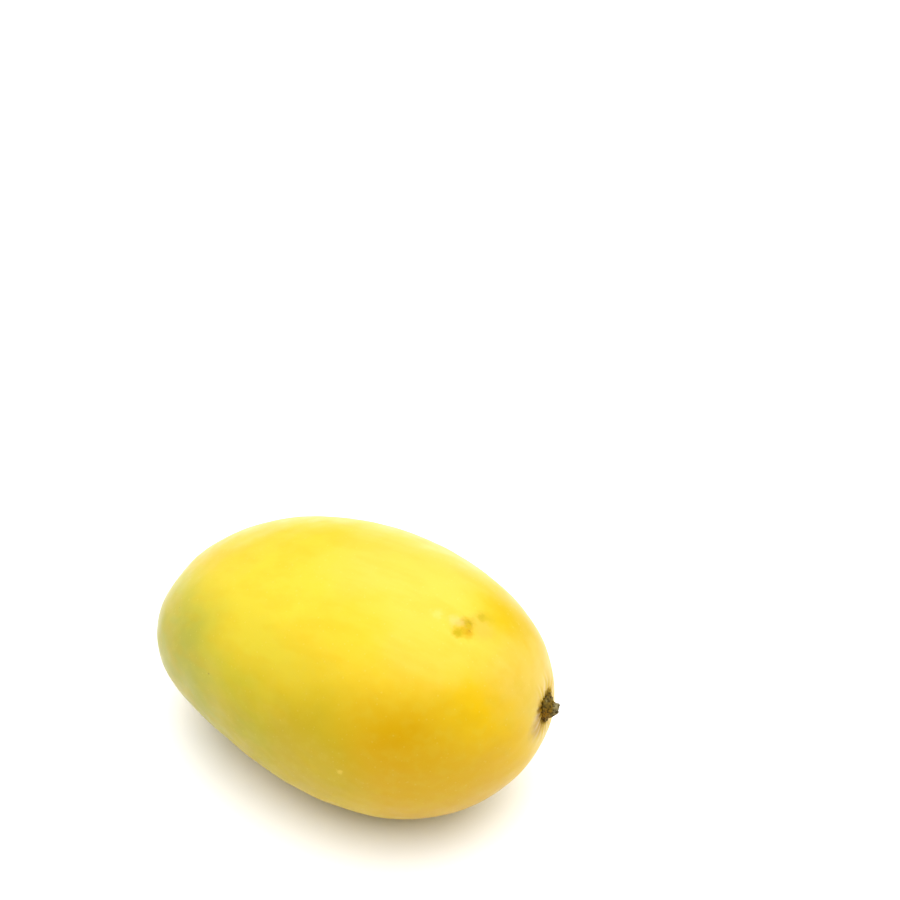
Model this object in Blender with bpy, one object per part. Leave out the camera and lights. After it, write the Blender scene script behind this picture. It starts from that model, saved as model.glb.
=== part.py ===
"""A ripe yellow mango lying on one cheek, with the short woody stub of its stem.

The long axis runs along X, from the tip (the blossom end) at -X to the stem at +X. The back of the
fruit faces +Y and its belly, with the fuller shoulder by the stem, faces -Y, so one cheek faces up
and the other one down. Metres, +Z up. The origin is on the surface that the fruit lies on, under the
middle of the whole.

Along the core line, u runs from -1 at the tip to +1 at the stem. Round it, an angle of 0 faces the
back and a quarter turn faces the upper cheek.
"""

import math

import bmesh
import bpy
from mathutils import Matrix, Vector

# Size of the fruit
LENGTH = 0.1220
BREADTH = 0.0827
THICKNESS = 0.0707

# How the tip closes, how the stem end closes, both from blunt (low) to pointed (high), and how much
# fuller the half by the stem is
BREADTH_FORM = (0.84, 1.06, 0.057)
THICKNESS_FORM = (0.86, 0.93, 0.19)

# Power of the cross-section's curve: 2 is an ellipse, and more is squarer
SECTION_POWER = 2.27

# The core line's sideways course, which gives the fruit its slanting shoulders
CORE_LEAN = -0.0127
CORE_BOW = 0.0010
CORE_SWAY = 0.0080

# Broad, shallow swells of the flesh: their height, and for each wave its turns round the fruit, its
# pace along the core line, its phase and its share of the height
SWELL_HEIGHT = 0.00022
SWELL_WAVES = ((2, 3.1, 0.6, 1.0), (3, -5.3, 2.1, 0.7), (5, 7.9, 4.0, 0.4))

# Basin of drawn-in skin round the stem, and the soft folds that radiate in it
BASIN_DEPTH = 0.0013
BASIN_RADIUS = 0.0066
FOLD_COUNT = 5
FOLD_PHASE = 0.8
FOLD_SHARE = 0.16

# How the fruit lies, and the depth of the flat spot that it lies on
NOSE_DOWN = math.radians(5.7)
ROLL = math.radians(0.9)
YAW = math.radians(11.0)
FLAT_DEPTH = 0.00045

# Stub of the stem: a root in the flesh, a corky collar, a neck and a broken end. Heights count from
# the floor of the basin.
ROOT_RADIUS = 0.0020
ROOT_DEPTH = 0.0050
COLLAR_RADIUS = 0.0042
COLLAR_LOW = 0.0006
COLLAR_THICKNESS = 0.0006
NECK_FOOT = 0.0004
STUB_RADIUS = 0.0020
STUB_HEIGHT = 0.0041
STUB_BEND = 0.0009
BREAK_EDGE = 0.0004
BREAK_SLOPE = 0.0004
BREAK_TURN = 2.4

# How far the foot of the neck stands off the middle of the collar, towards the lower cheek
NECK_DROP = 0.0008

# The stub's uneven outline: for each lobe its count round the stub, its phase and its share of the radius
STUB_LOBES = ((3, 0.4, 0.10), (5, 2.2, 0.06))

# Clearance between the root and the hole that it stands in
GAP = 0.0003

# Fineness of the meshes
FRUIT_SIDES = 60
FRUIT_RINGS = 48
STUB_SIDES = 20
CURVE_SAMPLES = 200

SKIN_COLOUR = (0.80, 0.53, 0.045, 1.0)
SKIN_ROUGHNESS = 0.42
WOOD_COLOUR = (0.105, 0.060, 0.028, 1.0)
WOOD_ROUGHNESS = 0.85


def clear_scene():
    for thing in list(bpy.data.objects):
        bpy.data.objects.remove(thing, do_unlink=True)


def make_material(name, colour, roughness):
    material = bpy.data.materials.new(name)
    material.use_nodes = True
    shader = material.node_tree.nodes["Principled BSDF"]
    shader.inputs["Base Color"].default_value = colour
    shader.inputs["Roughness"].default_value = roughness
    shader.inputs["Metallic"].default_value = 0.0
    material.diffuse_color = colour
    return material


def make_object(name, bm, material):
    mesh = bpy.data.meshes.new(name)
    bm.to_mesh(mesh)
    bm.free()
    mesh.materials.append(material)
    mesh.shade_smooth()
    thing = bpy.data.objects.new(name, mesh)
    bpy.context.scene.collection.objects.link(thing)
    return thing


def fullness(u, tip_power, stem_power, stem_bias):
    """How wide the fruit is at u, before scaling: nothing at both ends."""
    power = (stem_power * (1 + u) + tip_power * (1 - u)) / 2
    return max(1 - u * u, 0.0) ** (power / 2) * (1 + stem_bias * u)


def widest(*form):
    """The largest fullness along the whole core line."""
    stations = [2 * i / CURVE_SAMPLES - 1 for i in range(CURVE_SAMPLES + 1)]
    return max(fullness(u, *form) for u in stations)


HALF_BREADTH = BREADTH / 2 / widest(*BREADTH_FORM)
HALF_THICKNESS = THICKNESS / 2 / widest(*THICKNESS_FORM)


def core_offset(u):
    """Where the core line runs at u, towards the back of the fruit."""
    return CORE_LEAN * u + CORE_BOW * u * u + CORE_SWAY * u**3


def section_reach(angle):
    """Reach of the cross-section's squared-off round: 1 along its two axes."""
    across = abs(math.cos(angle)) ** SECTION_POWER
    along = abs(math.sin(angle)) ** SECTION_POWER
    return (across + along) ** (-1 / SECTION_POWER)


def flesh_swell(u, angle):
    """Swells and hollows of a few tenths of a millimetre, which die away at both ends."""
    total = 0.0
    for turns, pace, phase, share in SWELL_WAVES:
        total += share * math.sin(turns * angle + pace * u + phase)
    return SWELL_HEIGHT * total * (1 - u * u)


def basin_depth(y, z):
    """How far the skin is drawn in at y, z round the stem, with soft folds that radiate from it."""
    reach = math.hypot(y - core_offset(1), z) / BASIN_RADIUS
    turn = math.atan2(z, y - core_offset(1))
    folds = FOLD_SHARE * math.cos(FOLD_COUNT * turn + FOLD_PHASE) * min(reach, 1)
    return BASIN_DEPTH * math.exp(-reach * reach) * (1 + folds)


def skin_point(u, angle):
    """A point of the skin, in the fruit's own axes: x to the stem, y to the back, z to a cheek."""
    reach = section_reach(angle)
    swell = flesh_swell(u, angle)
    breadth = HALF_BREADTH * fullness(u, *BREADTH_FORM) + swell
    thickness = HALF_THICKNESS * fullness(u, *THICKNESS_FORM) + swell
    y = core_offset(u) + breadth * reach * math.cos(angle)
    z = thickness * reach * math.sin(angle)
    x = LENGTH / 2 * u
    if u > 0:
        x -= basin_depth(y, z)
    return Vector((x, y, z))


def lying_pose():
    """Rotation from the fruit's own axes to how it lies."""
    nose = Matrix.Rotation(-NOSE_DOWN, 4, "Y")
    roll = Matrix.Rotation(ROLL, 4, "X")
    yaw = Matrix.Rotation(YAW, 4, "Z")
    return yaw @ roll @ nose


def stem_seat():
    """The stub's own axes, with Z out of the fruit, at the floor of the basin."""
    turn = Matrix(((0, 0, 1), (1, 0, 0), (0, 1, 0))).to_4x4()
    return Matrix.Translation(skin_point(1, 0)) @ turn


def cut_flat_spot(bm):
    """Slices the lowest skin off, closes the cut with one flat face and stands it on z = 0."""
    level = min(vert.co.z for vert in bm.verts) + FLAT_DEPTH
    everything = list(bm.verts) + list(bm.edges) + list(bm.faces)
    bmesh.ops.bisect_plane(
        bm,
        geom=everything,
        plane_co=(0, 0, level),
        plane_no=(0, 0, -1),
        clear_outer=True,
    )
    rim = [edge for edge in bm.edges if edge.is_boundary]
    bmesh.ops.contextual_create(bm, geom=rim)
    return level


def sink_socket(bm, pole):
    """Turns the ring of skin next to the stem's pole into the round mouth of a plain blind hole."""
    middle = pole.co.copy()
    mouth = [edge.other_vert(pole) for edge in pole.link_edges]
    for vert in mouth:
        outward = Vector((0, vert.co.y - middle.y, vert.co.z - middle.z)).normalized()
        round_place = middle + (ROOT_RADIUS + GAP) * outward
        vert.co.y = round_place.y
        vert.co.z = round_place.z
    bmesh.ops.delete(bm, geom=[pole], context="VERTS")
    rim = [edge for edge in bm.edges if edge.is_boundary]
    wall = bmesh.ops.extrude_edge_only(bm, edges=rim)["geom"]
    for vert in wall:
        if isinstance(vert, bmesh.types.BMVert):
            vert.co.x = middle.x - ROOT_DEPTH - GAP
    floor = [edge for edge in wall if isinstance(edge, bmesh.types.BMEdge) and edge.is_boundary]
    bmesh.ops.contextual_create(bm, geom=floor)


def fruit_mesh():
    """A globe with its poles at the stem and the tip, drawn out to the form of the fruit."""
    bm = bmesh.new()
    bmesh.ops.create_uvsphere(bm, u_segments=FRUIT_SIDES, v_segments=FRUIT_RINGS, radius=1)
    stem_pole = max(bm.verts, key=lambda vert: vert.co.z)
    for vert in bm.verts:
        u = max(-1.0, min(1.0, vert.co.z))
        angle = math.atan2(vert.co.y, vert.co.x)
        vert.co = skin_point(u, angle)
    sink_socket(bm, stem_pole)
    bmesh.ops.transform(bm, matrix=lying_pose(), verts=bm.verts)
    level = cut_flat_spot(bm)
    bmesh.ops.recalc_face_normals(bm, faces=bm.faces)
    return bm, level


def stub_rings():
    """Height, radius, lobing and sideways drop of each ring, from the foot of the root to the break."""
    collar_rim = COLLAR_LOW + COLLAR_THICKNESS / 2
    collar_top = COLLAR_LOW + COLLAR_THICKNESS
    neck = (collar_top + STUB_HEIGHT) / 2
    return (
        (-ROOT_DEPTH, ROOT_RADIUS, 0.0, 0.0),
        (COLLAR_LOW / 2, ROOT_RADIUS, 0.0, 0.0),
        (COLLAR_LOW, 0.90 * COLLAR_RADIUS, 1.0, 0.0),
        (collar_rim, COLLAR_RADIUS, 1.0, 0.0),
        (collar_top, 0.84 * COLLAR_RADIUS, 1.0, 0.0),
        (collar_top + NECK_FOOT, 1.30 * STUB_RADIUS, 0.5, NECK_DROP),
        (neck, STUB_RADIUS, 0.4, NECK_DROP),
        (STUB_HEIGHT - BREAK_EDGE, 0.80 * STUB_RADIUS, 0.6, NECK_DROP),
        (STUB_HEIGHT, 0.62 * STUB_RADIUS, 0.6, NECK_DROP),
    )


def lobing(turn):
    """The uneven outline of the collar and the broken wood, as a share of the radius."""
    return sum(share * math.cos(count * turn + phase) for count, phase, share in STUB_LOBES)


def stub_mesh():
    """Rings skinned into one closed solid, bent a little and broken off on the slant."""
    bm = bmesh.new()
    rows = []
    for height, radius, unevenness, drop in stub_rings():
        rise = max(height, 0.0) / STUB_HEIGHT
        bend = STUB_BEND * rise**2 - drop
        row = []
        for side in range(STUB_SIDES):
            turn = 2 * math.pi * side / STUB_SIDES
            reach = radius * (1 + unevenness * lobing(turn))
            slope = BREAK_SLOPE * rise**4 * math.cos(turn - BREAK_TURN)
            place = (reach * math.cos(turn), reach * math.sin(turn) + bend, height + slope)
            row.append(bm.verts.new(place))
        rows.append(row)
    for low, high in zip(rows, rows[1:]):
        for side in range(STUB_SIDES):
            after = (side + 1) % STUB_SIDES
            bm.faces.new((low[side], low[after], high[after], high[side]))
    bm.faces.new(reversed(rows[0]))
    bm.faces.new(rows[-1])
    bmesh.ops.triangulate(bm, faces=bm.faces)
    return bm


def centre_over_origin(things):
    """Moves the things together so that the middle of their common box is over the origin."""
    points = [thing.matrix_world @ vert.co for thing in things for vert in thing.data.vertices]
    middle_x = (min(p.x for p in points) + max(p.x for p in points)) / 2
    middle_y = (min(p.y for p in points) + max(p.y for p in points)) / 2
    for thing in things:
        thing.location.x -= middle_x
        thing.location.y -= middle_y


def main():
    clear_scene()
    skin = make_material("mango_skin", SKIN_COLOUR, SKIN_ROUGHNESS)
    wood = make_material("stem_wood", WOOD_COLOUR, WOOD_ROUGHNESS)

    fruit_form, level = fruit_mesh()
    fruit = make_object("mango_fruit", fruit_form, skin)
    fruit.location.z = -level
    seat = Matrix.Translation((0, 0, -level)) @ lying_pose() @ stem_seat()

    stub = make_object("stem_stub", stub_mesh(), wood)
    stub.matrix_world = seat

    bpy.context.view_layer.update()
    centre_over_origin([fruit, stub])


main()
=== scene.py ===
# %% [markdown]
# The object is one ripe yellow mango that lies on its cheek on a pale table. A solid model of it
# exists already. It has the true size. This lesson gives the mango its looks: a finer skin on the
# same form, a rough stub of the stem, a finish for each, and a plain studio round them.

# %% Tools and the solid model
import math

import bmesh
import bpy
import numpy as np
from mathutils import Matrix, Vector


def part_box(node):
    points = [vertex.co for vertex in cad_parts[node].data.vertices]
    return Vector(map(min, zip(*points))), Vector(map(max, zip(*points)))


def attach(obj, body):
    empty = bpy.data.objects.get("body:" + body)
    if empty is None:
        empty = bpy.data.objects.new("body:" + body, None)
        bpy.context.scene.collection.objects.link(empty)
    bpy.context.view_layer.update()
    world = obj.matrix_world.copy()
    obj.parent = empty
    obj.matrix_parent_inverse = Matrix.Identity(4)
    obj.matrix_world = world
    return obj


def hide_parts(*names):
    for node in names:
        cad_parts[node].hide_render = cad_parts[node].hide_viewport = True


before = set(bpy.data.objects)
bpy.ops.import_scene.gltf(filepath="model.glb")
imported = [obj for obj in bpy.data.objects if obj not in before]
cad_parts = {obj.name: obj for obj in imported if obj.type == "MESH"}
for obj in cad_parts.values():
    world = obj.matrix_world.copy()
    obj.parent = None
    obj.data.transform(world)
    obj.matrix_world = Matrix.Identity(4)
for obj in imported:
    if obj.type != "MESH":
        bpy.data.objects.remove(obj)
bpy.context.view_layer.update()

# %% [markdown]
# A mango is a flattened round body with a slanting outline. Its back is full near the tip, and its
# belly is full near the stem. It could be sculpted by hand, but then nobody could see why it has its
# shape. So a formula draws it: a core line with a gentle S, a half breadth and a half thickness at
# each place along it, and a cross-section that is a little squarer than an ellipse. These are the
# solid model's own values, in metres.

# %% Values of the form
LENGTH = 0.1220
BREADTH = 0.0827
THICKNESS = 0.0707

# How the tip closes, how the stem end closes, and how much fuller the half by the stem is
BREADTH_FORM = (0.84, 1.06, 0.057)
THICKNESS_FORM = (0.86, 0.93, 0.19)
SECTION_POWER = 2.27

# How far the core line leans, bows and sways
CORE_LEAN = -0.0127
CORE_BOW = 0.0010
CORE_SWAY = 0.0080

# Low swells of the flesh: for each wave its turns round, its pace along, its phase and its share
SWELL_HEIGHT = 0.00022
SWELL_WAVES = ((2, 3.1, 0.6, 1.0), (3, -5.3, 2.1, 0.7), (5, 7.9, 4.0, 0.4))

# The basin that the stem sits in, and its shallow folds
BASIN_DEPTH = 0.0013
BASIN_RADIUS = 0.0066
FOLD_COUNT = 5
FOLD_PHASE = 0.8
FOLD_SHARE = 0.16

# How the fruit lies, and how deep its weight presses the flat spot
NOSE_DOWN = math.radians(5.7)
ROLL = math.radians(0.9)
YAW = math.radians(11.0)
FLAT_DEPTH = 0.00045

CURVE_SAMPLES = 200

# %% [markdown]
# The formula takes whole rows of points at once, as number arrays, so that a fine skin of nearly
# a hundred thousand points is made in a moment. Here u runs from -1 at the tip to +1 at the stem,
# and the angle goes round the core line.


# %% The formula of the skin
def fullness(u, tip_power, stem_power, stem_bias):
    power = (stem_power * (1 + u) + tip_power * (1 - u)) / 2
    return np.maximum(1 - u * u, 0.0) ** (power / 2) * (1 + stem_bias * u)


def half_size(whole, form):
    stations = np.linspace(-1, 1, CURVE_SAMPLES + 1)
    return whole / 2 / fullness(stations, *form).max()


def core_offset(u):
    return CORE_LEAN * u + CORE_BOW * u**2 + CORE_SWAY * u**3


def section_reach(angle):
    across = np.abs(np.cos(angle)) ** SECTION_POWER
    along = np.abs(np.sin(angle)) ** SECTION_POWER
    return (across + along) ** (-1 / SECTION_POWER)


def flesh_swell(u, angle):
    total = sum(
        share * np.sin(turns * angle + pace * u + phase)
        for turns, pace, phase, share in SWELL_WAVES
    )
    return SWELL_HEIGHT * total * (1 - u * u)


def round_stem(y, z):
    """How far out from the stem's axis a point is, in basin radii, and its turn round that axis."""
    reach = np.hypot(y - core_offset(1), z) / BASIN_RADIUS
    return reach, np.arctan2(z, y - core_offset(1))


def basin_depth(y, z):
    reach, turn = round_stem(y, z)
    folds = FOLD_SHARE * np.cos(FOLD_COUNT * turn + FOLD_PHASE) * np.minimum(reach, 1)
    return BASIN_DEPTH * np.exp(-reach * reach) * (1 + folds)


def skin_points(u, angle):
    reach = section_reach(angle)
    swell = flesh_swell(u, angle)
    breadth = half_size(BREADTH, BREADTH_FORM) * fullness(u, *BREADTH_FORM) + swell
    thickness = half_size(THICKNESS, THICKNESS_FORM) * fullness(u, *THICKNESS_FORM) + swell
    y = core_offset(u) + breadth * reach * np.cos(angle)
    z = thickness * reach * np.sin(angle)
    x = LENGTH / 2 * u - np.where(u > 0, basin_depth(y, z), 0.0)
    return np.stack([x, y, z], axis=-1)


stem_floor = skin_points(np.array([1.0]), np.array([0.0]))[0]
print("floor of the stem's basin, mm:", (1000 * stem_floor).round(1))

# %% [markdown]
# Real skin is never as even as a formula. Fine relief can come from a picture, from a noise texture
# or from waves. Here it comes from plane waves that run in random directions: a few of them added up
# make a soft, aimless ripple, and a seed keeps it the same each time.


# %% Ripples
def ripples(points, length, seed, count=14):
    """Soft aimless relief with bumps about as long as length, mostly between -1 and 1."""
    draw = np.random.default_rng(seed)
    total = np.zeros(len(points))
    for _ in range(count):
        way = draw.normal(size=3)
        way /= np.linalg.norm(way)
        pace = 2 * math.pi / length * draw.uniform(0.75, 1.35)
        total += np.sin(points @ way * pace + draw.uniform(0, 2 * math.pi))
    return total / math.sqrt(count)


def fall_off(distance, inner, outer):
    """1 inside the inner radius, 0 outside the outer one, and a smooth slope between them."""
    share = np.clip((outer - distance) / (outer - inner), 0, 1)
    return share * share * (3 - 2 * share)


# %% [markdown]
# Seen close, the skin has four kinds of relief. It dips and swells all over, mostly by less than
# a tenth of a millimetre. Small wrinkles run into the basin at the stem. A corky scar on the upper
# cheek stands a little proud, beside a shallow dent. And the tip carries the dry point where the
# flower was. All of it is real shape here, so it also shows in the outline and in the highlights.

# %% Values of the relief
DIMPLE_LENGTH = 0.0150
DIMPLE_HEIGHT = 0.00007
GRAIN_LENGTH = 0.0048
GRAIN_HEIGHT = 0.000016

# The wrinkles start, are full and end at these distances from the stem, in basin radii
WRINKLE_COUNT = 17
WRINKLE_HEIGHT = 0.00016
WRINKLE_REACH = (0.2, 0.55, 1.9)
WRINKLE_STRAY = 1.3
WRINKLE_STRAY_LENGTH = 0.006

TIP_POINT_RADIUS = 0.0011
TIP_POINT_MIDDLE = 0.3
TIP_POINT_HEIGHT = 0.00035
TIP_GRAIN_LENGTH = 0.0007
TIP_GRAIN_SHARE = 0.3


# %% Meshes as number arrays
def globe_mesh(name, sides, rings):
    globe = bmesh.new()
    bmesh.ops.create_uvsphere(globe, u_segments=sides, v_segments=rings, radius=1)
    mesh = bpy.data.meshes.new(name)
    globe.to_mesh(mesh)
    globe.free()
    return mesh


def read_points(mesh):
    flat = np.empty(3 * len(mesh.vertices), np.float32)
    mesh.vertices.foreach_get("co", flat)
    return flat.reshape(-1, 3).astype(float)


def write_points(mesh, points):
    mesh.vertices.foreach_set("co", points.astype(np.float32).ravel())
    mesh.update()


def read_normals(mesh):
    flat = np.empty(3 * len(mesh.vertices), np.float32)
    mesh.vertex_normals.foreach_get("vector", flat)
    return flat.reshape(-1, 3).astype(float)


# %% Relief of the skin
SKIN_SIDES = 320
SKIN_RINGS = 300


def stem_wrinkles(points):
    """Radial wrinkles that start at the stub and die away on the shoulder."""
    reach, turn = round_stem(points[:, 1], points[:, 2])
    start, full, end = WRINKLE_REACH
    stray = WRINKLE_STRAY * ripples(points, WRINKLE_STRAY_LENGTH, seed=31)
    band = fall_off(reach, full, end) * (1 - fall_off(reach, start, full)) * (points[:, 0] > 0)
    return WRINKLE_HEIGHT * band * np.sin(WRINKLE_COUNT * turn + stray)


def tip_point(points):
    """The small dry point at the blossom end."""
    tip = skin_points(np.array([-1.0]), np.array([0.0]))[0]
    distance = np.linalg.norm(points - tip, axis=1)
    ring = fall_off(distance, TIP_POINT_MIDDLE * TIP_POINT_RADIUS, TIP_POINT_RADIUS)
    grain = TIP_GRAIN_SHARE * ripples(points, TIP_GRAIN_LENGTH, seed=33)
    return TIP_POINT_HEIGHT * ring * (1 - TIP_GRAIN_SHARE + grain)


skin_mesh = globe_mesh("mango_skin", SKIN_SIDES, SKIN_RINGS)
globe_points = read_points(skin_mesh)
along = np.clip(globe_points[:, 2], -1, 1)
around = np.arctan2(globe_points[:, 1], globe_points[:, 0])
write_points(skin_mesh, skin_points(along, around))

points = read_points(skin_mesh)
relief = DIMPLE_HEIGHT * ripples(points, DIMPLE_LENGTH, seed=11)
relief += GRAIN_HEIGHT * ripples(points, GRAIN_LENGTH, seed=12)
relief += stem_wrinkles(points)
relief += tip_point(points)
points += relief[:, None] * read_normals(skin_mesh)
print("skin points:", len(points))
print("relief, mm:", (1000 * relief.min()).round(2), "to", (1000 * relief.max()).round(2))

# %% [markdown]
# The fruit lies where its weight settles, nose a little down, on a spot that its soft flesh presses
# flat. The fine skin is turned the same way as the solid model. Then it is fitted to the solid's box,
# so that it is neither larger nor smaller, and the same small move is kept for the stub.


# %% Lying pose
def lying_pose():
    nose = Matrix.Rotation(-NOSE_DOWN, 3, "Y")
    roll = Matrix.Rotation(ROLL, 3, "X")
    yaw = Matrix.Rotation(YAW, 3, "Z")
    return np.array(yaw @ roll @ nose)


# Over about this height the skin bends into the flat spot
SPOT_EDGE = 0.00016

laid = points @ lying_pose().T
spot_level = laid[:, 2].min() + FLAT_DEPTH
above = laid[:, 2] - spot_level
laid[:, 2] = spot_level + (above + np.sqrt(above**2 + SPOT_EDGE**2)) / 2

fruit_low, fruit_high = (np.array(corner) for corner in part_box("mango_fruit"))
laid_low = laid.min(axis=0)
fit_scale = (fruit_high - fruit_low) / (laid.max(axis=0) - laid_low)


def settle(places):
    """Moves points of the lying pose to where the solid fruit is."""
    return (places - laid_low) * fit_scale + fruit_low


laid = settle(laid)
print("fit to the solid:", fit_scale.round(4))

# %% [markdown]
# The scar and its dent are placed on the skin as it lies, because that is how the photograph shows
# them. Each is a round patch whose rim wanders, so that it does not look stamped.


# %% Scar and dent
# Places in the lying pose, from the middle of the solid model's base
SCAR_PLACE = (0.0373, -0.0003, 0.0674)
SCAR_RADIUS = 0.0021
SCAR_HEIGHT = 0.00022
CRUST_LENGTH = 0.0013
CRUST_ROUGHNESS = 0.45
DENT_PLACE = (0.0354, -0.0038, 0.0680)
DENT_RADIUS = 0.0030
DENT_DEPTH = 0.00018

# How far a patch's rim wanders, how long its waves are and how far its flat middle reaches, in radii
RIM_STRAY = 0.28
RIM_WAVE = 1.3
PATCH_MIDDLE = 0.45


def patch(points, place, radius, seed):
    """1 in the middle of a patch with a wandering rim, and 0 outside it."""
    distance = np.linalg.norm(points - np.array(place), axis=1)
    stray = 1 + RIM_STRAY * ripples(points, RIM_WAVE * radius, seed)
    return fall_off(distance / stray, PATCH_MIDDLE * radius, radius)


write_points(skin_mesh, laid)
scar = patch(laid, SCAR_PLACE, SCAR_RADIUS, seed=21)
dent = patch(laid, DENT_PLACE, DENT_RADIUS, seed=22)
crumbs = CRUST_ROUGHNESS * ripples(laid, CRUST_LENGTH, seed=23)
crust = SCAR_HEIGHT * scar * (1 - CRUST_ROUGHNESS + crumbs)
laid += (crust - DENT_DEPTH * dent)[:, None] * read_normals(skin_mesh)
write_points(skin_mesh, laid)
skin_mesh.shade_smooth()
skin = bpy.data.objects.new("mango_skin", skin_mesh)
bpy.context.scene.collection.objects.link(skin)
print("scar covers", int((scar > 0.5).sum()), "points")

# %% [markdown]
# The stub is what is left of the stalk: a thin corky collar that grips the fruit, a short neck that
# stands off the collar's middle and tapers, and a torn end with a sunken pith. A turned profile gives
# its form. Cutting the corners of a few chosen points, again and again, makes the profile smooth, and
# the solid's own lobes make it uneven. Ripples then roughen the cork, the bark and the torn wood.

# %% Values of the stub
STUB_SIDES = 128
CORNER_CUTS = 4
STUB_HEIGHT = 0.0041
PITH_HEIGHT = 0.0037

# The neck stands a little below the collar's middle and bends up, and its break slants
STUB_BEND = 0.0009
NECK_DROP = 0.0008
BREAK_SLOPE = 0.0004
BREAK_TURN = 2.4

# Lobes round the stub: how many, their phase and their share of the radius
STUB_LOBES = ((3, 0.4, 0.10), (5, 2.2, 0.06))

# Height above the basin's floor and radius, from inside the flesh to the middle of the break
STUB_PROFILE = (
    (-0.0015, 0.0030),
    (0.0000, 0.0037),
    (0.0004, 0.0040),
    (0.0008, 0.0039),
    (0.0010, 0.0034),
    (0.0012, 0.0029),
    (0.0015, 0.0025),
    (0.0022, 0.0021),
    (0.0030, 0.0017),
    (0.0037, 0.0015),
    (0.0041, 0.0013),
    (0.0040, 0.0008),
    (0.0038, 0.0004),
    (PITH_HEIGHT, 0.00005),
)


# %% Helpers for a turned form
def cut_corners(line, times):
    """A smooth line from a coarse one: each stretch keeps its middle half, each time."""
    line = np.array(line)
    for _ in range(times):
        near = 0.75 * line[:-1] + 0.25 * line[1:]
        far = 0.25 * line[:-1] + 0.75 * line[1:]
        inside = np.stack([near, far], axis=1).reshape(-1, 2)
        line = np.vstack([line[:1], inside, line[-1:]])
    return line


def turned_mesh(name, profile, sides):
    """Rings of points round the Z axis, skinned with four-sided faces and closed at both ends."""
    count = len(profile)
    turn = np.tile(np.arange(sides) * 2 * math.pi / sides, count)
    height = np.repeat(profile[:, 0], sides)
    radius = np.repeat(profile[:, 1], sides)
    start = np.arange(count - 1)[:, None] * sides + np.arange(sides)
    after = np.arange(count - 1)[:, None] * sides + (np.arange(sides) + 1) % sides
    faces = np.stack([start, after, after + sides, start + sides], axis=-1).reshape(-1, 4)
    ends = [list(range(sides))[::-1], list(range((count - 1) * sides, count * sides))]
    places = np.stack([radius * np.cos(turn), radius * np.sin(turn), height], axis=1)
    mesh = bpy.data.meshes.new(name)
    mesh.from_pydata(places.tolist(), [], faces.tolist() + ends)
    return mesh, turn, height, radius


# %% Form of the stub
BARK_HEIGHT = 0.00013
BARK_LENGTH = 0.0011
BARK_GRAIN = np.array([1, 1, 0.22])
CORK_HEIGHT = 0.00022
CORK_LENGTH = 0.0019
CORK_SHARE = 1.2
CORK_FINE_LENGTH = 0.0007
CORK_FINE_SHARE = 0.6
SPLINTER_HEIGHT = 0.00026
SPLINTER_LENGTH = 0.0006
SPLINTER_GRAIN = np.array([1, 1, 0.3])

# The collar ends between these heights, and the torn wood is above one height and inside these radii
COLLAR_END = (0.0009, 0.0016)
TORN_FLOOR = 0.0034
TORN_RADII = (0.0012, 0.0015)
TORN_SINK = 0.0002
PITH_RADIUS = 0.0004
BREAK_RADIUS = 0.0016
BARE_LOBE_SHARE = 0.45

profile = cut_corners(STUB_PROFILE, CORNER_CUTS)
stub_mesh, turn, height, radius = turned_mesh("stem_stub_wood", profile, STUB_SIDES)
lobes = sum(share * np.cos(count * turn + phase) for count, phase, share in STUB_LOBES)
rise = np.clip(height / STUB_HEIGHT, 0, 1)
collar_share = fall_off(height, *COLLAR_END)
torn_share = fall_off(radius, *TORN_RADII) * (height > TORN_FLOOR)

plain = read_points(stub_mesh)
bark = ripples(plain * BARK_GRAIN, BARK_LENGTH, seed=41)
cork = CORK_SHARE * ripples(plain, CORK_LENGTH, seed=42)
cork += CORK_FINE_SHARE * ripples(plain, CORK_FINE_LENGTH, seed=43)
splinters = ripples(plain * SPLINTER_GRAIN, SPLINTER_LENGTH, seed=44)
lobe_share = BARE_LOBE_SHARE + (1 - BARE_LOBE_SHARE) * collar_share
reach = radius * (1 + lobe_share * lobes)
reach += (1 - torn_share) * (BARK_HEIGHT * bark + CORK_HEIGHT * collar_share * cork)
reach = np.where(radius < PITH_RADIUS, radius, reach)
slant = np.cos(turn - BREAK_TURN) * np.clip(radius / BREAK_RADIUS, 0, 1)
plain[:, 0] = reach * np.cos(turn)
plain[:, 1] = reach * np.sin(turn) + STUB_BEND * rise**2 - NECK_DROP * (1 - collar_share)
plain[:, 2] += BREAK_SLOPE * rise**4 * slant
plain[:, 2] += (SPLINTER_HEIGHT * splinters - TORN_SINK) * torn_share
print("stub points:", len(plain))

# %% [markdown]
# The stub's own axes are turned so that it points out of the fruit, and it is set on the basin's
# floor. The move that fitted the skin to the solid now carries the stub too.

# %% Set the stub in the basin
out_of_fruit = np.array([[0, 0, 1], [1, 0, 0], [0, 1, 0]], float)
stub_places = plain @ out_of_fruit.T + stem_floor
write_points(stub_mesh, settle(stub_places @ lying_pose().T))
stub_mesh.shade_smooth()
stub = bpy.data.objects.new("stem_stub_wood", stub_mesh)
bpy.context.scene.collection.objects.link(stub)
stem_place = settle(stem_floor @ lying_pose().T)
pith = np.array([0, STUB_BEND - NECK_DROP, PITH_HEIGHT])
stub_tip = settle((stem_floor + out_of_fruit @ pith) @ lying_pose().T)
print("stem at, mm:", (1000 * stem_place).round(1), "torn end at, mm:", (1000 * stub_tip).round(1))

# %% [markdown]
# A finish is a small tree of nodes. To keep it readable, one helper adds a node and joins it, and
# others have names a painter would use: a zone is a soft round patch of the surface, and a coat lays
# one colour over another by a share. Each colour is three numbers: the share of the red, green and
# blue light that the surface sends back.


# %% Nodes and finishes
def new_finish(name):
    finish = bpy.data.materials.new(name)
    finish.use_nodes = True
    tree = finish.node_tree
    return finish, tree, tree.nodes["Principled BSDF"]


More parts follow.
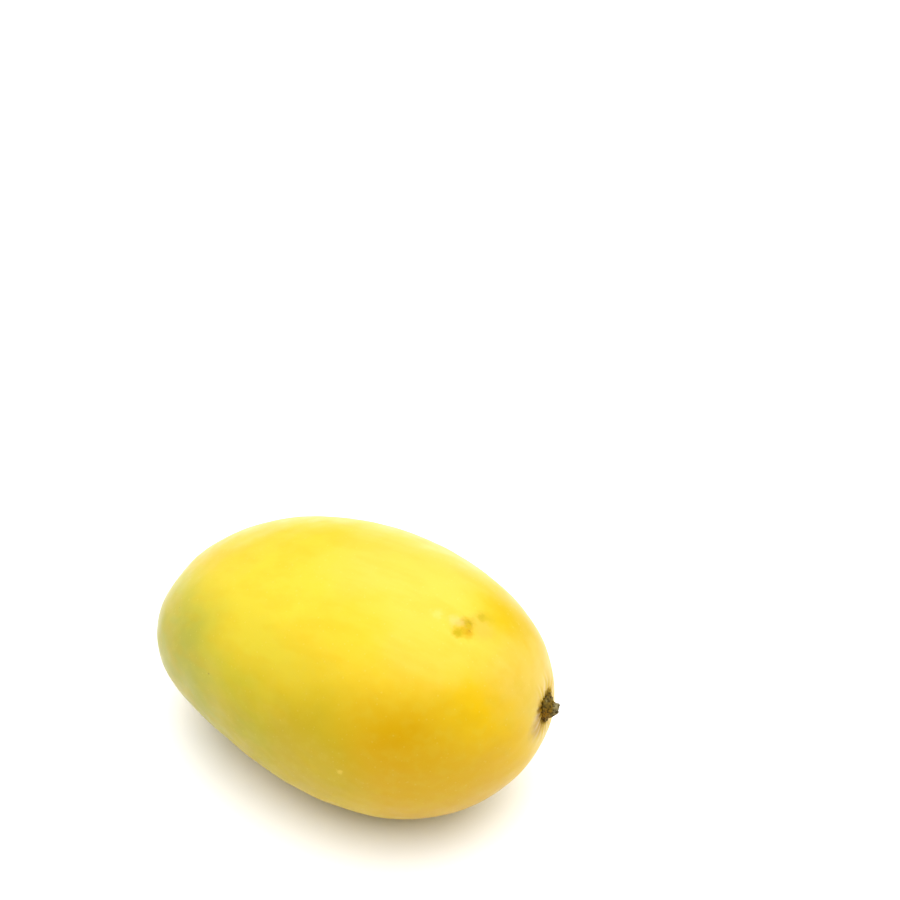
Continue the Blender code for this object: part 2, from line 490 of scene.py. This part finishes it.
def add_node(tree, kind, inputs=None, **settings):
    made = tree.nodes.new("ShaderNode" + kind)
    for name, value in settings.items():
        setattr(made, name, value)
    for socket, value in (inputs or {}).items():
        if isinstance(value, bpy.types.NodeSocket):
            tree.links.new(value, made.inputs[socket])
        else:
            made.inputs[socket].default_value = value
    return made


def combine(tree, operation, first, second):
    return add_node(tree, "Math", {0: first, 1: second}, operation=operation).outputs[0]


def vectors(tree, operation, first, second):
    slot = "Scale" if operation == "SCALE" else 1
    return add_node(tree, "VectorMath", {0: first, slot: second}, operation=operation).outputs[0]


# %% Paint, noise and zones
MILLIMETRE = 0.001


def paint(red, green, blue):
    return (red, green, blue, 1.0)


def coat(tree, share, under, over):
    """Lays the colour over on the colour under, by a share between 0 and 1."""
    made = add_node(tree, "Mix", {0: share, 6: under, 7: over}, data_type="RGBA")
    return made.outputs[2]


def lay(tree, where, share, under, over):
    """Lays the colour over on the places that where picks out, as a thin coat of the given share."""
    return coat(tree, combine(tree, "MULTIPLY", where, share), under, over)


def slope(tree, value, start, end, low=0.0, high=1.0):
    """Turns a value that runs from start to end into one that runs smoothly from low to high."""
    numbers = {"Value": value, "From Min": start, "From Max": end, "To Min": low, "To Max": high}
    made = add_node(tree, "MapRange", numbers, interpolation_type="SMOOTHSTEP")
    return made.outputs["Result"]


def cloud(tree, place, length, detail=3.0, roughness=0.55):
    """Noise with blots about as long as length, in the units of place."""
    inputs = {"Vector": place, "Scale": 1 / length, "Detail": detail, "Roughness": roughness}
    return add_node(tree, "TexNoise", inputs)


def zone(tree, place, centre, inner, outer):
    """1 near the centre and 0 beyond the outer radius, in millimetres."""
    far = add_node(tree, "VectorMath", {0: place, 1: centre}, operation="DISTANCE")
    return slope(tree, far.outputs["Value"], outer, inner)


def in_millimetres(tree):
    where = add_node(tree, "TexCoord").outputs["Object"]
    return vectors(tree, "SCALE", where, 1 / MILLIMETRE)


def bumps(tree, height_mm, strength):
    """Lets the light see relief whose height is given in millimetres."""
    inputs = {"Height": height_mm, "Distance": MILLIMETRE, "Strength": strength}
    return add_node(tree, "Bump", inputs).outputs["Normal"]


def push_about(tree, place, length, reach):
    """The same place, moved up to half the reach by noise: it gives zones wandering edges."""
    noise = cloud(tree, place, length).outputs["Color"]
    centred = vectors(tree, "SUBTRACT", noise, (0.5, 0.5, 0.5))
    return vectors(tree, "ADD", place, vectors(tree, "SCALE", centred, reach))


# %% [markdown]
# Ripe skin is a warm yellow all over, but never one yellow. The tip ripens last and stays green. The
# belly next to it is olive, the middle is lemon, and towards the stem the skin deepens to gold and
# then, round the stem itself, to peach. The side that lay away from the sun is paler. A picture could
# be wrapped round the fruit, but it would slip and blur at the ends. So the zones below are round
# patches with soft, wandering edges, laid one over the other. Each has a colour from a small palette
# and a place on the fruit itself. They were drafted, then fitted by a program to the colours
# that the photograph shows, and at last rounded and adjusted.
# The crown and a patch below the scar are paler partly by painted sheen, where the wax mirrors the
# light.

# %% Colours of the skin
GREEN = paint(0.33, 0.32, 0.04)
PALE_GREEN = paint(0.43, 0.41, 0.01)
OLIVE = paint(0.34, 0.30, 0.00)
OLIVE_GOLD = paint(0.47, 0.38, 0.01)
LEMON = paint(0.57, 0.46, 0.03)
# Lemon made paler by painted sheen, where the wax mirrors the light
LEMON_AND_PAINTED_SHEEN = paint(0.60, 0.42, 0.05)
GOLD = paint(0.62, 0.38, 0.00)
DEEP_GOLD = paint(0.49, 0.33, 0.00)
OCHRE = paint(0.42, 0.30, 0.005)
TAN = paint(0.50, 0.28, 0.01)
AMBER = paint(0.50, 0.27, 0.00)
PEACH = paint(0.59, 0.43, 0.08)
GROUND = paint(0.57, 0.41, 0.02)


# %% Zones of the skin
def on_skin(along, degrees):
    """A place on the skin, in mm: along is -1 at the tip and 1 at the stem, and the turn is 0 at the
    back, 90 on the upper cheek and 180 at the belly."""
    bare = skin_points(np.array([along]), np.radians([degrees]))[0]
    return tuple(float(1000 * value) for value in settle(bare @ lying_pose().T))


# Name, colour, centre, inner and outer radius in mm, and share
SKIN_ZONES = (
    ("middle", LEMON, on_skin(-0.45, 130), 15, 40, 0.90),
    # The crown is lemon, partly paled by painted sheen where the wax mirrors the light
    ("crown", LEMON_AND_PAINTED_SHEEN, on_skin(0.30, 70), 12, 30, 0.85),
    ("shaded side", LEMON, on_skin(0.00, -60), 20, 48, 0.70),
    ("back", OLIVE_GOLD, on_skin(-0.50, 20), 6, 30, 0.60),
    ("belly near the tip", OLIVE, on_skin(-0.30, 180), 4, 26, 0.80),
    ("tip", PALE_GREEN, on_skin(-0.98, 100), 8, 25, 0.75),
    ("belly side of the tip", GREEN, on_skin(-0.80, 180), 12, 37, 0.90),
    ("stem end", GOLD, on_skin(0.95, 150), 10, 38, 0.90),
    ("middle of the belly", OCHRE, on_skin(0.10, 175), 10, 26, 0.80),
    ("belly near the stem", TAN, on_skin(0.65, 195), 12, 32, 0.75),
    ("fullest belly", AMBER, on_skin(0.50, 155), 0, 26, 0.90),
    ("shoulder", DEEP_GOLD, on_skin(0.80, 60), 6, 18, 0.85),
    # Painted sheen: a pale patch below the scar, where the wax mirrors the front edge of the light
    ("painted sheen below the scar", LEMON_AND_PAINTED_SHEEN, on_skin(0.55, 105), 9, 20, 0.80),
    ("above the stem", PEACH, on_skin(0.90, 105), 4, 17, 0.65),
    ("round the stem", PEACH, on_skin(1.00, 0), 7, 19, 0.80),
)


# %% Paint the skin
ZONE_WAVE = 15.0
ZONE_STRAY = 14.0


def lay_zones(tree, place, colour, zones):
    for _, shade, centre, inner, outer, share in zones:
        colour = lay(tree, zone(tree, place, centre, inner, outer), share, colour, shade)
    return colour


skin_finish, tree, skin_shader = new_finish("mango_skin")
place = in_millimetres(tree)
wandering = push_about(tree, place, ZONE_WAVE, ZONE_STRAY)
colour = lay_zones(tree, wandering, GROUND, SKIN_ZONES)
for name, _, centre, *_ in SKIN_ZONES:
    print(name, "at, mm:", [round(value) for value in centre])

# %% [markdown]
# Over the big zones lie three finer things: streaks that run along the fruit, mottles a few
# millimetres across, and pores, which are pale dots half a millimetre wide, some three millimetres
# apart. Streaks are noise that is stretched along the fruit. A cell texture gives the dots, each with
# its own size, and rare brown specks come from the same texture on a wider grid.

# %% Streaks, mottles, pores and specks
STREAK_STRETCH = (0.28, 1.0, 1.0)
STREAK_LENGTH = 5.5
STREAK_EDGE = (0.42, 0.66)
STREAK_SHARE = 0.22
MOTTLE_LENGTH = 3.4
MOTTLE_EDGE = (0.45, 0.68)
MOTTLE_SHARE = 0.14
PORE_SPACING = 1.7
PORE_RADIUS = (0.17, 0.36)
PORE_SHARE = 0.16
SPECK_SPACING = 9.0
SPECK_RADIUS = (0.1, 0.34)
SPECK_LUCK = (0.62, 0.66)
SPECK_SHARE = 0.7

# How unevenly the dots are spread, and where a dot's edge starts to fade, as a share of its radius
DOT_STRAY = 0.9
DOT_EDGE = 0.55

STREAK_COLOUR = paint(0.522, 0.313, 0.002)
MOTTLE_COLOUR = paint(0.539, 0.435, 0.044)
PORE_COLOUR = paint(0.679, 0.574, 0.139)
SPECK_COLOUR = paint(0.20, 0.10, 0.03)


def dots(tree, place, spacing, smallest, largest):
    """Round dots, one to a cell, each between the smallest and the largest radius."""
    inputs = {"Vector": place, "Scale": 1 / spacing, "Randomness": DOT_STRAY}
    cells = add_node(tree, "TexVoronoi", inputs)
    luck = add_node(tree, "SeparateColor", {0: cells.outputs["Color"]}).outputs[0]
    reach = slope(tree, luck, 0.0, 1.0, smallest / spacing, largest / spacing)
    inside = combine(tree, "DIVIDE", cells.outputs["Distance"], reach)
    return slope(tree, inside, 1.0, DOT_EDGE), luck


stretched = vectors(tree, "MULTIPLY", place, STREAK_STRETCH)
streak = slope(tree, cloud(tree, stretched, STREAK_LENGTH).outputs[0], *STREAK_EDGE)
colour = lay(tree, streak, STREAK_SHARE, colour, STREAK_COLOUR)
mottle = slope(tree, cloud(tree, place, MOTTLE_LENGTH, detail=5.0).outputs[0], *MOTTLE_EDGE)
colour = lay(tree, mottle, MOTTLE_SHARE, colour, MOTTLE_COLOUR)
pores, _ = dots(tree, place, PORE_SPACING, *PORE_RADIUS)
colour = lay(tree, pores, PORE_SHARE, colour, PORE_COLOUR)
specks, speck_luck = dots(tree, place, SPECK_SPACING, *SPECK_RADIUS)
specks = combine(tree, "MULTIPLY", specks, slope(tree, speck_luck, *SPECK_LUCK))
colour = lay(tree, specks, SPECK_SHARE, colour, SPECK_COLOUR)
print("skin finish so far:", len(tree.nodes), "nodes")

# %% [markdown]
# Three places are marked. Round the stub the skin is russet, with a brown stain above it and a tan
# bruise towards the belly. The scar on the cheek is an old rub: a tan crust with olive edges, with
# a smudge on one side and a pale edge on the other. Beyond that edge lies a painted highlight, a
# pale patch where the light shines on the wax. And one pale spot sits low on the belly. Each is a
# small zone, and fine noise makes the edges ragged.

# %% Russet, scar and spots
STEM_MM = tuple(1000 * value for value in stem_place)

# The same columns as those of the zones
MARKS = (
    ("halo", paint(0.500, 0.318, 0.050), STEM_MM, 4.5, 10.5, 0.60),
    ("tan bruise", paint(0.385, 0.232, 0.045), (59.2, 1.3, 38.9), 1.8, 6.2, 0.85),
    ("russet", paint(0.200, 0.110, 0.004), STEM_MM, 4.4, 5.9, 0.85),
    ("stem stain", paint(0.180, 0.090, 0.000), (58.5, 3.2, 42.8), 0.8, 3.6, 0.90),
    # A painted highlight: a pale patch where the light shines on the wax of the upper cheek
    ("painted highlight", paint(0.600, 0.475, 0.110), (28.7, -1.9, 69.5), 0.0, 3.0, 0.50),
    ("beside the scar", paint(0.492, 0.333, 0.034), (40.0, 2.4, 66.2), 1.5, 6.4, 0.80),
    ("scar gold", paint(0.525, 0.352, 0.010), (36.8, -1.6, 67.6), 1.2, 5.2, 0.70),
    ("pale edge", paint(0.570, 0.430, 0.120), (33.6, -0.8, 68.5), 0.2, 3.2, 0.65),
    ("scar orange", paint(0.455, 0.262, 0.004), (38.2, -1.9, 67.2), 0.4, 2.7, 0.85),
    ("scar beige", paint(0.500, 0.345, 0.075), (35.2, 0.1, 68.1), 0.2, 2.4, 0.85),
    ("scar olive", paint(0.340, 0.235, 0.000), (36.6, 1.3, 67.6), 0.1, 2.9, 0.80),
    ("scar dark", paint(0.310, 0.210, 0.000), (37.2, 1.0, 67.4), 0.1, 1.1, 0.40),
    ("scar edge", paint(0.355, 0.260, 0.000), (36.1, -3.8, 67.6), 0.2, 2.7, 0.88),
    ("scar dot", paint(0.350, 0.190, 0.008), (38.6, -1.1, 67.0), 0.1, 0.7, 0.65),
    ("smudge", paint(0.350, 0.262, 0.000), (38.4, 5.9, 66.7), 0.1, 3.0, 0.80),
    ("smudge tail", paint(0.430, 0.315, 0.000), (40.4, 7.0, 65.7), 0.1, 3.4, 0.75),
    ("belly spot", paint(0.700, 0.500, 0.075), (20.1, -40.3, 36.6), 0.2, 1.4, 0.60),
)

MARK_WAVE = 1.3
MARK_STRAY = 2.8

ragged = push_about(tree, place, MARK_WAVE, MARK_STRAY)
colour = lay_zones(tree, ragged, colour, MARKS)
print("marks:", [name for name, *_ in MARKS])

# %% [markdown]
# Mango skin has a thin coat of natural wax: it shines softly where it is sound and is dull on cork.
# Very fine bumps break the shine up. The gloss is tinted yellow, as on skin whose wax lets the light
# through to the colour below. A white gloss would grey the deep gold where it mirrors the table. A
# little light also enters the flesh, which softens the dark side.

# %% Values of the gloss, the grain and the glow
SKIN_ROUGHNESS = (0.28, 0.40)
CORK_ROUGHNESS = 0.80
WAX_LENGTH = 7.0
WAX_EDGE = (0.3, 0.7)

# Cork is dull and crazed: its inner and outer radius, in mm, round the stem and on the scar
STEM_CORK_REACH = (4.0, 7.0)
SCAR_CORK_REACH = (0.8, 2.6)
SCAR_MM = (37.0, -0.4, 67.4)

# Lengths and heights of the finest relief, in mm
GRAIN_MM = 0.9
GRAIN_RISE = 0.020
PORE_RISE = 0.012
CRAZING_MM = 0.5
CRAZING_RISE = 0.35
SKIN_BUMP_STRENGTH = 0.8

# The gloss: how strongly it mirrors, and its tint
GLOSS_INDEX = 1.31
GLOSS_TINT = (1.0, 0.85, 0.15, 1.0)

# The glow: its share, and how deep red, green and blue light go into the flesh
GLOW_SHARE = 0.12
GLOW_DEPTH = 0.003
GLOW_COLOURS = (1.0, 0.5, 0.12)

# %% Gloss, grain and glow of the skin
stem_cork = zone(tree, ragged, STEM_MM, *STEM_CORK_REACH)
scar_cork = zone(tree, ragged, SCAR_MM, *SCAR_CORK_REACH)
cork = combine(tree, "MAXIMUM", stem_cork, scar_cork)
wax = slope(tree, cloud(tree, place, WAX_LENGTH).outputs[0], *WAX_EDGE, *SKIN_ROUGHNESS)
dull = combine(tree, "MULTIPLY", cork, CORK_ROUGHNESS)
roughness = combine(tree, "MAXIMUM", wax, dull)

grain = cloud(tree, place, GRAIN_MM).outputs[0]
crazing = cloud(tree, place, CRAZING_MM, detail=4.0, roughness=0.7).outputs[0]
height_mm = combine(tree, "MULTIPLY", grain, GRAIN_RISE)
height_mm = combine(tree, "ADD", height_mm, combine(tree, "MULTIPLY", pores, PORE_RISE))
rough_cork = combine(tree, "MULTIPLY", combine(tree, "MULTIPLY", crazing, cork), CRAZING_RISE)
height_mm = combine(tree, "ADD", height_mm, rough_cork)

tree.links.new(colour, skin_shader.inputs["Base Color"])
tree.links.new(roughness, skin_shader.inputs["Roughness"])
tree.links.new(bumps(tree, height_mm, SKIN_BUMP_STRENGTH), skin_shader.inputs["Normal"])
skin_shader.inputs["IOR"].default_value = GLOSS_INDEX
skin_shader.inputs["Specular Tint"].default_value = GLOSS_TINT
skin_shader.inputs["Subsurface Weight"].default_value = GLOW_SHARE
skin_shader.inputs["Subsurface Radius"].default_value = GLOW_COLOURS
skin_shader.inputs["Subsurface Scale"].default_value = GLOW_DEPTH
skin_mesh.materials.append(skin_finish)
print("skin finish:", len(tree.nodes), "nodes")

# %% [markdown]
# The stub is dead, dry wood: near black in its cracks, brown on its ridges, with grey bloom where it
# has weathered. On its lower side towards the belly it is rust brown with no bloom, which is partly
# real rust and partly painted shade. The torn end is paler, because the wood there is fresh. The
# same noise that colours the bark also raises it.

# %% Values of the wood
BARK_DARK = paint(0.036, 0.022, 0.002)
BARK_BROWN = paint(0.170, 0.105, 0.008)
BARK_GREY = paint(0.240, 0.195, 0.065)
BARK_RUST_AND_SHADE = paint(0.215, 0.100, 0.002)
TORN_WOOD = paint(0.240, 0.215, 0.110)
WOOD_ROUGHNESS = 0.88
WOOD_INDEX = 1.25

# Sizes in mm
RIDGE_MM = 0.8
FLAKE_MM = 1.9
WOOD_RISE = 0.30
RUST_AND_SHADE_OFFSET = (0.8, -2.8, -0.6)
RUST_AND_SHADE_REACH = (0.8, 3.6)
RUST_AND_SHADE_WAVE = 1.5
RUST_AND_SHADE_STRAY = 2.0
TORN_REACH = (1.2, 2.2)

# Where dark turns to light in the noise: bark, bloom, rust with painted shade, and torn wood
BARK_EDGE = (0.36, 0.62)
BLOOM_EDGE = (0.56, 0.70)
RUST_AND_SHADE_EDGE = (0.38, 0.60)
TORN_EDGE = (0.34, 0.56)
BLOOM_SHARE = 0.75
TORN_SHARE = 0.85

# %% Finish of the stub
TIP_MM = tuple(1000 * value for value in stub_tip)
RUST_AND_SHADE_MM = tuple(stem + step for stem, step in zip(STEM_MM, RUST_AND_SHADE_OFFSET))

wood_finish, tree, wood_shader = new_finish("stem_wood")
place = in_millimetres(tree)
ridges = cloud(tree, place, RIDGE_MM, detail=5.0, roughness=0.65).outputs[0]
flakes = cloud(tree, place, FLAKE_MM).outputs[0]
colour = coat(tree, slope(tree, ridges, *BARK_EDGE), BARK_DARK, BARK_BROWN)
colour = coat(tree, slope(tree, flakes, *BLOOM_EDGE, high=BLOOM_SHARE), colour, BARK_GREY)
# Rust brown with no grey bloom on the stub's lower side towards the belly: partly real rust, partly
# painted shade
rust_and_shade = zone(tree, push_about(tree, place, RUST_AND_SHADE_WAVE, RUST_AND_SHADE_STRAY), RUST_AND_SHADE_MM, *RUST_AND_SHADE_REACH)
rust_and_shade_wood = coat(tree, slope(tree, ridges, *RUST_AND_SHADE_EDGE), BARK_DARK, BARK_RUST_AND_SHADE)
colour = coat(tree, rust_and_shade, colour, rust_and_shade_wood)
torn = zone(tree, place, TIP_MM, *TORN_REACH)
torn_wood = coat(tree, slope(tree, ridges, *TORN_EDGE), BARK_DARK, TORN_WOOD)
colour = lay(tree, torn, TORN_SHARE, colour, torn_wood)
wood_height = combine(tree, "MULTIPLY", ridges, WOOD_RISE)

tree.links.new(colour, wood_shader.inputs["Base Color"])
tree.links.new(bumps(tree, wood_height, 1.0), wood_shader.inputs["Normal"])
wood_shader.inputs["Roughness"].default_value = WOOD_ROUGHNESS
wood_shader.inputs["IOR"].default_value = WOOD_INDEX
stub_mesh.materials.append(wood_finish)
print("wood finish:", len(tree.nodes), "nodes")

# %% [markdown]
# The photograph looks down on the fruit from the belly side, with the stem to the right, through
# a long lens that flattens the view. The camera stands where the outline of the model matches the
# outline in the picture. It looks at a point of the table behind the fruit, because the fruit is low
# and to the left in the picture.

# %% Camera
CAMERA_TURN = math.radians(30.84)
CAMERA_RISE = math.radians(42.0)
CAMERA_DISTANCE = 1.0351
CAMERA_AIM = Vector((-0.04257, 0.1240, 0.0))
CAMERA_REACH = 20.0
LENS_MM = 128.0
SENSOR_MM = 36.0

backward = Vector((
    math.sin(CAMERA_TURN) * math.cos(CAMERA_RISE),
    -math.cos(CAMERA_TURN) * math.cos(CAMERA_RISE),
    math.sin(CAMERA_RISE),
))
camera_data = bpy.data.cameras.new("camera")
camera_data.lens = LENS_MM
camera_data.sensor_width = SENSOR_MM
camera_data.clip_end = CAMERA_REACH
camera = bpy.data.objects.new("camera", camera_data)
camera.location = CAMERA_AIM + CAMERA_DISTANCE * backward
camera.rotation_euler = (-backward).to_track_quat("-Z", "Y").to_euler()
bpy.context.scene.collection.objects.link(camera)
bpy.context.scene.camera = camera
print("camera at", [round(value, 3) for value in camera.location])

# %% [markdown]
# The studio is a wide pale table under a very large soft light, like a bright ceiling. Its front edge
# is what gives the fruit its look: above that edge the waxy skin mirrors the light and pales, below
# it the skin mirrors the dim room and shows its deepest gold, and lower still it mirrors the table.
# A light this large casts hardly any shadow, except close to the place where the fruit rests.

# %% Values of the studio
TABLE_SIZE = 8.0
TABLE_COLOUR = (0.90, 0.90, 0.90, 1.0)
TABLE_ROUGHNESS = 0.7
ROOM_COLOUR = (1.0, 1.0, 1.0, 1.0)
ROOM_STRENGTH = 0.38

# The light's middle as the camera sees it: to the right, behind the fruit, and above it
LIGHT_RIGHT = 0.35
LIGHT_BEHIND = 0.50
LIGHT_ABOVE = 1.45
LIGHT_WIDTH = 3.2
LIGHT_DEPTH = 3.8
LIGHT_POWER = 104.0


# %% Table, light and room
def table():
    top = bmesh.new()
    bmesh.ops.create_grid(top, x_segments=1, y_segments=1, size=TABLE_SIZE / 2)
    mesh = bpy.data.meshes.new("table_top")
    top.to_mesh(mesh)
    top.free()
    finish, _, shader = new_finish("table_top")
    shader.inputs["Base Color"].default_value = TABLE_COLOUR
    shader.inputs["Roughness"].default_value = TABLE_ROUGHNESS
    mesh.materials.append(finish)
    made = bpy.data.objects.new("table_top", mesh)
    bpy.context.scene.collection.objects.link(made)
    return made


def ceiling_light():
    lamp = bpy.data.lights.new("ceiling", "AREA")
    lamp.shape = "RECTANGLE"
    lamp.size = LIGHT_WIDTH
    lamp.size_y = LIGHT_DEPTH
    lamp.energy = LIGHT_POWER
    made = bpy.data.objects.new("ceiling", lamp)
    turned = Matrix.Rotation(CAMERA_TURN, 3, "Z")
    made.location = turned @ Vector((LIGHT_RIGHT, LIGHT_BEHIND, LIGHT_ABOVE))
    made.rotation_euler = turned.to_euler()
    bpy.context.scene.collection.objects.link(made)
    return made


floor = table()
ceiling = ceiling_light()
room = bpy.data.worlds.new("room")
room.use_nodes = True
room.node_tree.nodes["Background"].inputs["Color"].default_value = ROOM_COLOUR
room.node_tree.nodes["Background"].inputs["Strength"].default_value = ROOM_STRENGTH
bpy.context.scene.world = room
bpy.context.scene.view_settings.view_transform = "Standard"
print("light at", [round(value, 2) for value in ceiling.location])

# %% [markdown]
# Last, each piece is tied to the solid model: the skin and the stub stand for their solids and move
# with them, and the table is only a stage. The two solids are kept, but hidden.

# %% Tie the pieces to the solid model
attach(skin, "root")
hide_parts("mango_fruit")
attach(stub, "root")
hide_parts("stem_stub")
